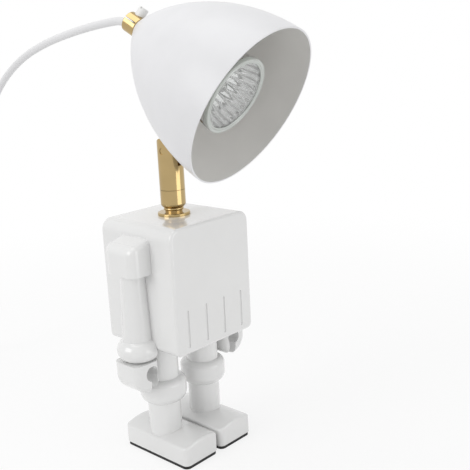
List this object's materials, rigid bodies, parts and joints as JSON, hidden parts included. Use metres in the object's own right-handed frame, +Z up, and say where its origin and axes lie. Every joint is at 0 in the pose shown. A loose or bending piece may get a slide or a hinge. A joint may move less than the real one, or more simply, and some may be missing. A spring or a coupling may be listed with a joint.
{
  "type": "desk lamp",
  "caption": "Robot shaped desk lamp: glossy white toy figure with claw hands, brass swivel neck and a tilting bell shade as its head.",
  "frame": {"origin": "on the desk, midway between the feet and under the middle of the torso", "axes": "+Z up, the robot faces -Y, its left arm is on +X"},
  "size_m": [0.1523, 0.4352, 0.2918],
  "materials": {
    "figure_gloss": "glossy white cast figure",
    "sole_rubber": "matt black",
    "brass": "polished",
    "shade_paint": "satin white outside and inside",
    "steel": "zinc plated",
    "nylon": "translucent white",
    "ceramic": "unglazed",
    "lamp_glass": "clear front glass",
    "lamp_shell": "mirror inside",
    "lamp_base": "white",
    "cord_jacket": "smooth white",
    "plug_plastic": "moulded white",
    "nickel": "nickel plated"
  },
  "bodies": {
    "figure": {"torso": "figure_gloss", "foot_right": "figure_gloss", "foot_left": "figure_gloss", "leg_right": "figure_gloss", "leg_left": "figure_gloss", "arm_right": "figure_gloss", "arm_left": "figure_gloss", "hand_right": "figure_gloss", "hand_left": "figure_gloss", "sole_pad_right": "sole_rubber", "sole_pad_left": "sole_rubber", "threaded_insert": "brass", "neck_flange": "brass", "neck_sleeve": "brass", "threaded_rod": "steel", "swivel_screw": "steel", "cord_drop": "cord_jacket", "cord_coil": "cord_jacket", "plug_body": "plug_plastic", "plug_pins": "nickel"},
    "neck": {"neck_tube": "brass", "tilt_screw": "brass"},
    "head": {"shade": "shade_paint", "tilt_arm": "brass", "clamp_washer": "steel", "clamp_nut": "steel", "cord_grip": "brass", "cord_grip_screw": "nylon", "cord_grip_spacer": "brass", "cord_grip_nuts": "brass", "holder_bracket": "steel", "bracket_screws": "steel", "lamp_holder": "ceramic", "holder_leads": "cord_jacket", "bulb_base": "lamp_base", "bulb_pins": "nickel", "bulb_reflector": "lamp_shell", "bulb_lens": "lamp_glass", "bulb_burner": "lamp_glass", "cord_inner_end": "cord_jacket"}
  },
  "joints": [
    {"name": "neck_swivel", "type": "hinge", "parent": "figure", "child": "neck", "pos_m": [0, 0, 0.1776], "axis": [0, 0, 1], "range_deg": [-170, 170], "deforming": ["cord_drop"]},
    {"name": "shade_tilt", "type": "hinge", "parent": "neck", "child": "head", "pos_m": [0, 0, 0.203], "axis": [0.9914, 0.1305, 0], "range_deg": [-80, 35]}
  ]
}
